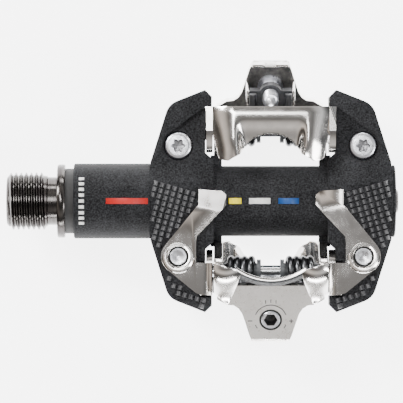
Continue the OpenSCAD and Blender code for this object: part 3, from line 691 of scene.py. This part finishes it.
spring_wire = finish("spring_wire", (0.13, 0.135, 0.14), (0.07, 0.07, 0.075), 700, 0.25, 0.42, 0.006,
                     metallic=1.0, stretch=(1, 0.4, 0.4))
wire_r = 0.9
coil_r = 2.95
coil_outer_x = 10.65
coil_inner_x = 4.4
coil_sweep = math.radians(360 * 3 + 270 - 23)
coil_steps = 132
foot = 14.5            # length of the leg that stands in the arch
leg = 11.2             # length of the leg on the nut


def edges_of(geom):
    return [g for g in geom if isinstance(g, bmesh.types.BMEdge)]


for side in "ab":
    for hand in (-1, 1):
        bm = bmesh.new()
        ring = bmesh.ops.create_circle(bm, segments=16, radius=wire_r)["verts"]
        bmesh.ops.translate(bm, verts=ring, vec=(coil_outer_x, -coil_r, -foot))
        edges = bm.edges[:]
        bmesh.ops.contextual_create(bm, geom=edges)
        grown = bmesh.ops.extrude_edge_only(bm, edges=edges)["geom"]
        bmesh.ops.translate(bm, verts=verts_of(grown), vec=(0, 0, foot))
        ring = verts_of(grown) + edges_of(grown)
        last = bmesh.ops.spin(bm, geom=ring, cent=(0, 0, 0), axis=(1, 0, 0), angle=-coil_sweep,
                              steps=coil_steps, dvec=((coil_inner_x - coil_outer_x) / coil_steps, 0, 0),
                              use_duplicate=False)["geom_last"]
        grown = bmesh.ops.extrude_edge_only(bm, edges=edges_of(last))["geom"]
        along = Vector((0, -math.cos(tail_tilt), -math.sin(tail_tilt))) * leg
        bmesh.ops.translate(bm, verts=verts_of(grown), vec=along)
        bmesh.ops.contextual_create(bm, geom=edges_of(grown))
        bmesh.ops.translate(bm, verts=bm.verts, vec=(0, -pin_y, pin_z))
        if hand < 0:
            bmesh.ops.scale(bm, verts=bm.verts, vec=(-1, 1, 1))
        bmesh.ops.recalc_face_normals(bm, faces=bm.faces)
        turn_over(bm, side)
        word = "left" if hand < 0 else "right"
        spring = piece(f"torsion_spring_{side}_{word}", bm, spring_wire, None, [f"spring_{side}_{word}"],
                       smooth=60)
        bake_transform(spring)


# ------------------------------------------------------------------ tension screws
# The screw's head turns in the tail plate, and a nut slides along its thread as
# it turns. The plate is stamped round it with an arc, a plus and a minus.

bright_bolt = finish("bright_bolt", (0.80, 0.81, 0.85), (0.66, 0.67, 0.72), 1500, 0.26, 0.40, 0.012,
                     metallic=1.0)
black_nut = finish("black_nut", (0.03, 0.032, 0.034), (0.06, 0.06, 0.065), 1500, 0.35, 0.55, 0.01,
                   metallic=0.6)
# Painted shade: near-black for a ring in the gap round each screw's head
gap_shade_black = finish("gap_shade_black", (0.006, 0.006, 0.006), (0.012, 0.012, 0.012), 1500, 0.7, 0.9, 0.01)
screw_pitch = 0.7
screw_start = -12.2

for side in "ab":
    coat(f"tension_nut_{side}", black_nut)

    ridges = []
    for n in range(12):
        z = screw_start + screw_pitch * n
        ridges += [(1.7, z), (2.0, z + 0.25), (2.0, z + 0.4), (1.7, z + 0.65)]
    bm = lathe([(0, -13.9), (0.7, -13.8), (1.3, -13.4), (1.65, -12.8), (1.7, -12.5), *ridges,
                (1.7, -3.0), (3.2, -2.85), (3.2, -2.1), (2.4, -2.0), (2.4, -0.1), (2.15, 0.12),
                (1.75, 0.12)], 64)
    # The socket's walls are painted near-black for the shade inside it
    sink(bm, hexagon(3), 2.0)
    bmesh.ops.transform(bm, matrix=tail_frame, verts=bm.verts)
    turn_over(bm, side)
    screw = f"tension_screw_{side}"
    piece(f"screw_{side}", bm, (bright_bolt, shade_and_mark_black), screw, [screw])

    # A near-black ring painted in the gap round the screw's head, for the shade there
    bm = lathe([(2.36, -0.6), (2.36, 0.04), (2.84, 0.04), (2.84, -0.6)], 64)
    bmesh.ops.transform(bm, matrix=tail_frame, verts=bm.verts)
    turn_over(bm, side)
    piece(f"screw_gap_shade_{side}", bm, gap_shade_black, f"rear_claw_{side}")


# ------------------------------------------------------------------ frame bolts
# Two bolts on each side pass down through the wings into the arms of the front
# claw on the other side. Their button heads have a six-lobed socket, and their
# ends have a turned dimple.

# Painted shade: a mid-grey, a darker copy of the bolts' finish, for the walls of their six-lobed sockets
socket_shade_grey = finish("socket_shade_grey", (0.36, 0.36, 0.38), (0.24, 0.24, 0.25), 900, 0.30, 0.45, 0.004,
                     metallic=1.0)
tip = -boss_z - 0.6    # the bolt's end stands a little proud of the arm


def six_lobes(angle):
    """The outline of the bolts' socket, as its radius at an angle."""
    return 1.75 * (0.87 + 0.13 * math.cos(6 * angle))


for side in "ab":
    bm = lathe([(0, tip + 0.35), (0.9, tip + 0.12), (1.6, tip), (1.95, tip), (2.05, tip + 0.1),
                (2.05, tip + 1.0), (2.5, tip + 1.1), (2.5, 3.6), (3.45, 3.6), (3.45, 5.35), (3.3, 5.7),
                (2.95, 5.95), (2.3, 6.0)], 96)
    # The socket's walls are painted mid-grey for the shade inside it
    sink(bm, six_lobes, 1.6)
    # The bolt's shank in the gap between its end and the arm is painted black for the shade in that gap
    for f in bm.faces:
        at = f.calc_center_median()
        if 2.04 < at.xy.length < 2.52 and at.z < tip + 1.3:
            f.material_index = 2
    bmesh.ops.translate(bm, verts=bm.verts, vec=(bolt[0], bolt[1], 0))
    mirrored(bm)
    turn_over(bm, side)
    piece(f"bolts_{side}", bm, (bright_bolt, socket_shade_grey, shade_and_mark_black), "pedal_body",
          [f"frame_bolts_{side}"])


# ------------------------------------------------------------------ studio
# The pedal lies on its side B on a pale table, under soft lamps, and the camera
# looks straight down on side A. The sky is banded light and dark, so the
# plated claws have something to mirror.

view_middle = (35.84, -0.12)
view_width = 100.25    # across the view, at view_level above the spindle axis
view_level = 2.0
camera_height = 1000.0
sensor = 36.0
table_gap = 0.4
table_half = 3.0

camera = bpy.data.objects.new("camera", bpy.data.cameras.new("camera"))
bpy.context.collection.objects.link(camera)
camera.location = (view_middle[0] * MM, view_middle[1] * MM, camera_height * MM)
camera.data.sensor_width = sensor
camera.data.lens = sensor * (camera_height - view_level) / view_width
camera.data.clip_start = 0.05
bpy.context.scene.camera = camera

bm = bmesh.new()
bmesh.ops.create_grid(bm, x_segments=1, y_segments=1, size=table_half)
bmesh.ops.translate(bm, verts=bm.verts, vec=(0, 0, -(claw_top + table_gap) * MM))
table_mesh = bpy.data.meshes.new("table_top")
bm.to_mesh(table_mesh)
bm.free()
table_top = bpy.data.objects.new("table_top", table_mesh)
bpy.context.collection.objects.link(table_top)

paper = bpy.data.materials.new("white_paper")
paper.use_nodes = True
paper_shader = paper.node_tree.nodes["Principled BSDF"]
paper_shader.inputs["Roughness"].default_value = 0.9
paper_shader.inputs["Specular IOR Level"].default_value = 0.1
paper_shader.inputs["Emission Strength"].default_value = 5.0
fibres = paper.node_tree.nodes.new("ShaderNodeTexNoise")
fibres.inputs["Scale"].default_value = 30.0
tint = paper.node_tree.nodes.new("ShaderNodeValToRGB")
tint.color_ramp.elements[0].color = (0.93, 0.93, 0.94, 1)
tint.color_ramp.elements[1].color = (0.96, 0.96, 0.96, 1)
paper.node_tree.links.new(fibres.outputs["Fac"], tint.inputs["Fac"])
for socket in ("Base Color", "Emission Color"):
    paper.node_tree.links.new(tint.outputs["Color"], paper_shader.inputs[socket])
table_mesh.materials.append(paper)

for lamp_name, place, size, watts in (
    ("key", (-0.60, 0.55, 0.70), (0.35, 0.35), 13.0),
    ("fill", (0.75, -0.30, 0.60), (0.25, 0.60), 7.0),
    ("front", (0.10, -0.95, 0.24), (0.90, 0.10), 6.0),
    ("back", (0.10, 0.90, 0.35), (0.60, 0.16), 4.0),
    ("overhead", (-0.12, 0.24, 1.30), (0.22, 0.50), 5.0),
    ("card_over_arch", (0.075, 0.052, 1.31), (0.075, 0.030), 0.03),
):
    lamp = bpy.data.objects.new(lamp_name, bpy.data.lights.new(lamp_name, "AREA"))
    bpy.context.collection.objects.link(lamp)
    lamp.data.shape = "RECTANGLE"
    lamp.data.size, lamp.data.size_y = size
    lamp.data.energy = watts
    lamp.location = place
    aim = Vector((0.04, 0, 0)) - Vector(place)
    lamp.rotation_euler = aim.to_track_quat("-Z", "Y").to_euler()

world = bpy.data.worlds.new("studio")
bpy.context.scene.world = world
world.use_nodes = True
sky = world.node_tree.nodes
direction = sky.new("ShaderNodeTexCoord")
height = sky.new("ShaderNodeSeparateXYZ")
shade = sky.new("ShaderNodeValToRGB")
shade.color_ramp.elements[0].position = 0.0
shade.color_ramp.elements[0].color = (0.50, 0.49, 0.48, 1)
shade.color_ramp.elements[1].position = 1.0
shade.color_ramp.elements[1].color = (0.30, 0.30, 0.30, 1)
for stop, grey in ((0.50, 0.9), (0.58, 0.12), (0.72, 0.06), (0.78, 0.30), (0.845, 1.0), (0.91, 0.75),
                   (0.965, 0.16)):
    shade.color_ramp.elements.new(stop).color = (grey * 1.02, grey, grey * 0.98, 1)
upward = sky.new("ShaderNodeMapRange")
upward.inputs["From Min"].default_value = -1.0
world.node_tree.links.new(direction.outputs["Generated"], height.inputs["Vector"])
world.node_tree.links.new(height.outputs["Z"], upward.inputs["Value"])
world.node_tree.links.new(upward.outputs["Result"], shade.inputs["Fac"])
# Warm from the left and cool from the right
across = sky.new("ShaderNodeMapRange")
across.inputs["From Min"].default_value = -0.8
across.inputs["From Max"].default_value = 0.8
warmth = sky.new("ShaderNodeMix")
warmth.data_type = "RGBA"
warmth.inputs["A"].default_value = (1.14, 1.03, 0.93, 1)
warmth.inputs["B"].default_value = (0.92, 0.96, 1.00, 1)
tinted = sky.new("ShaderNodeMix")
tinted.data_type = "RGBA"
tinted.blend_type = "MULTIPLY"
tinted.inputs["Factor"].default_value = 1.0
world.node_tree.links.new(height.outputs["X"], across.inputs["Value"])
world.node_tree.links.new(across.outputs["Result"], warmth.inputs["Factor"])
world.node_tree.links.new(shade.outputs["Color"], tinted.inputs["A"])
world.node_tree.links.new(warmth.outputs["Result"], tinted.inputs["B"])
world.node_tree.links.new(tinted.outputs["Result"], sky["Background"].inputs["Color"])
sky["Background"].inputs["Strength"].default_value = 0.9
